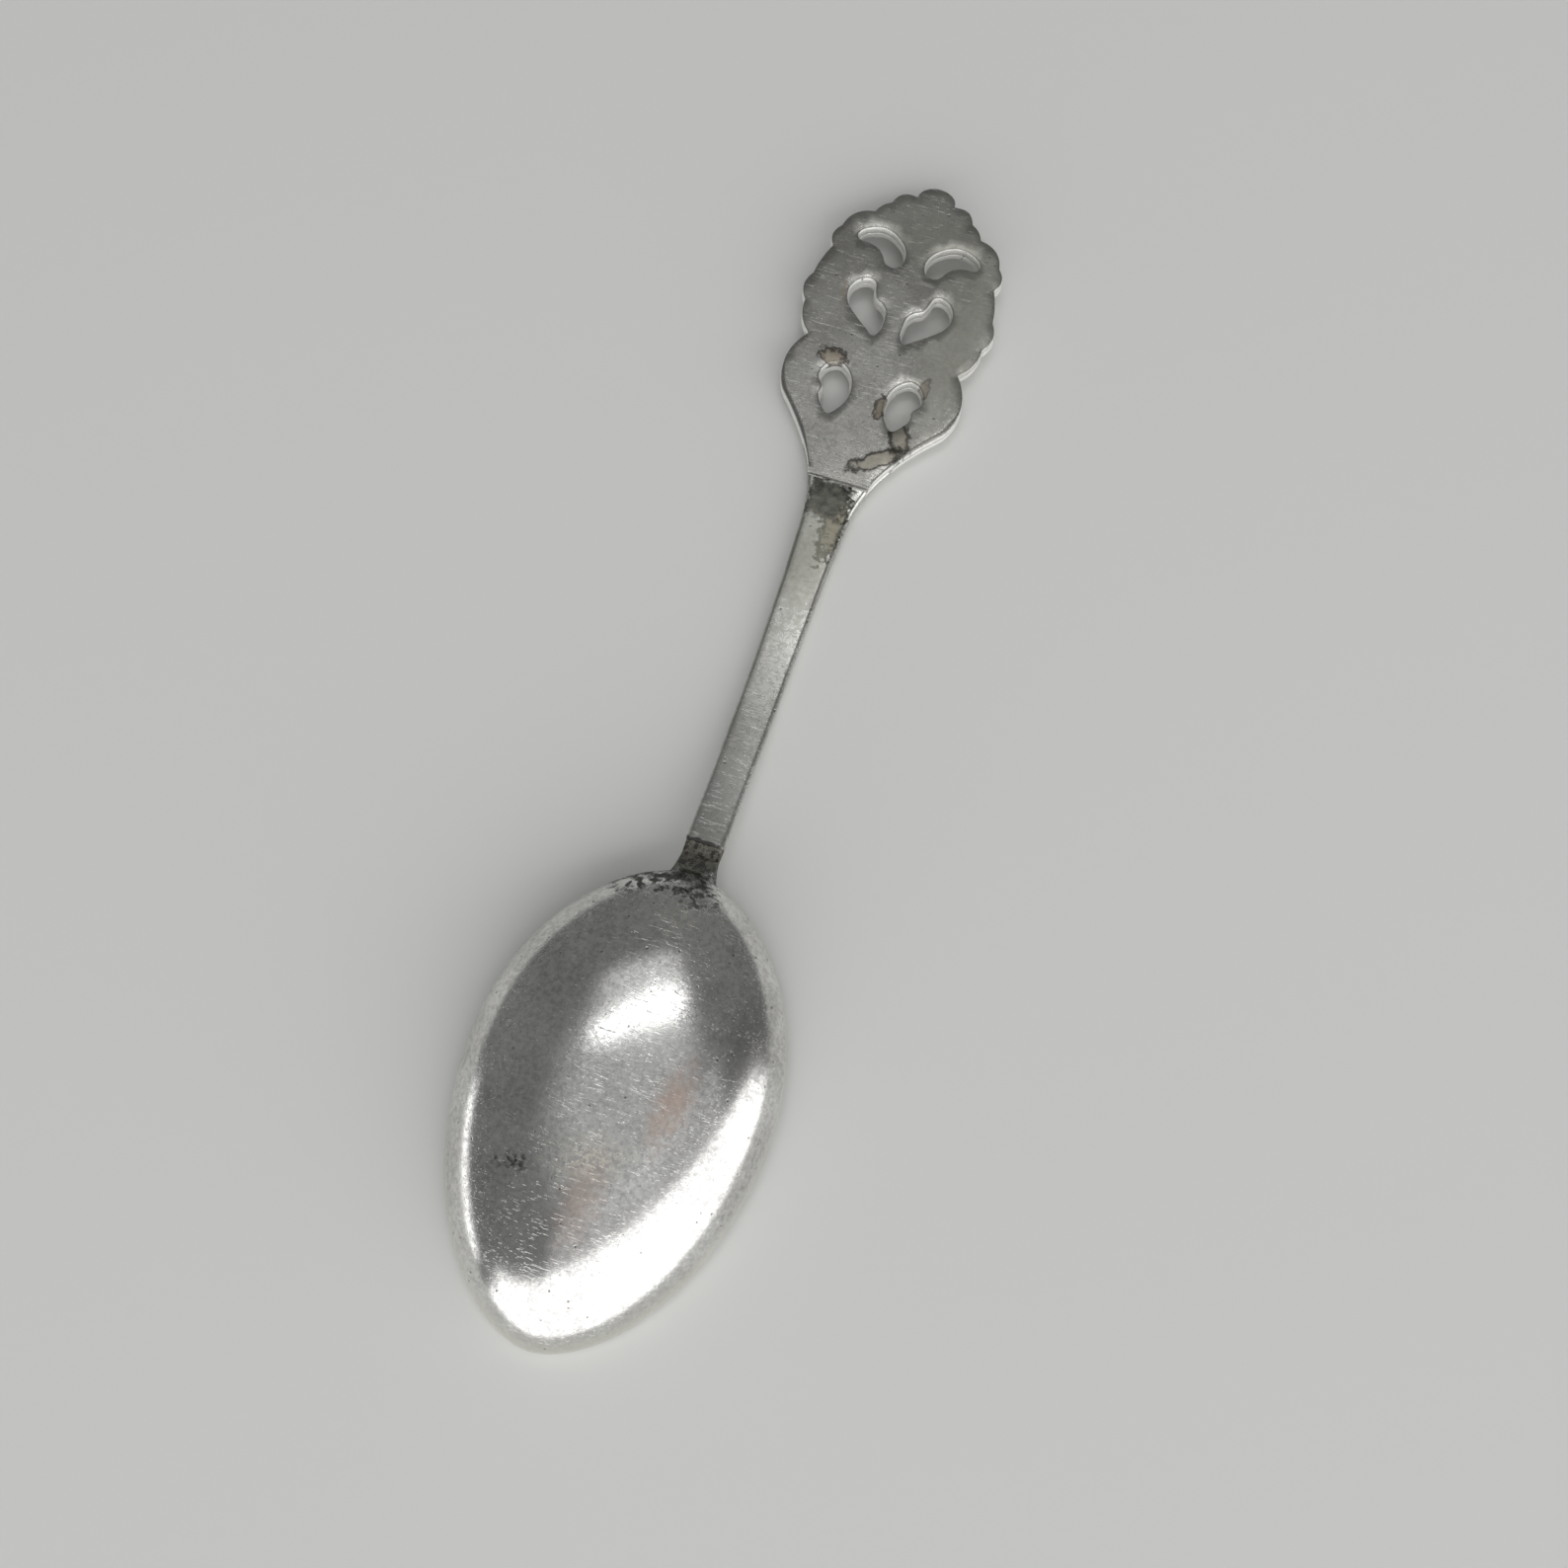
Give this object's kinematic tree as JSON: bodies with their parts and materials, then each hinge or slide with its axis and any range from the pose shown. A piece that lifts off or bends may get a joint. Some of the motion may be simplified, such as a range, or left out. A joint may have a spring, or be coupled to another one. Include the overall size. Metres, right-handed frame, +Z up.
{
  "type": "souvenir spoon",
  "caption": "Small metal souvenir spoon lying face down, with an egg-shaped bowl, a narrow flat stem and a pierced scalloped finial.",
  "frame": {"origin": "centre of the footprint on the surface that the spoon lies on, face down", "axes": "+Y along the spoon from the bowl's tip to the finial's tip, +Z up out of the spoon's back, +X across"},
  "size_m": [0.0266, 0.1128, 0.0085],
  "materials": {
    "bowl_silver": "worn polished silver with fine scratches",
    "stem_silver": "worn silver, lightly tarnished",
    "finial_silver": "dull silver with grey mottling",
    "relief_silver": "struck silver, dark in the recesses",
    "solder": "blackened, crusty solder"
  },
  "bodies": {
    "root": {"bowl": "bowl_silver", "stem": "stem_silver", "finial_back_plate": "finial_silver", "finial_front_relief": "relief_silver", "bowl_joint_solder": "solder", "finial_joint_solder": "solder"}
  },
  "joints": []
}
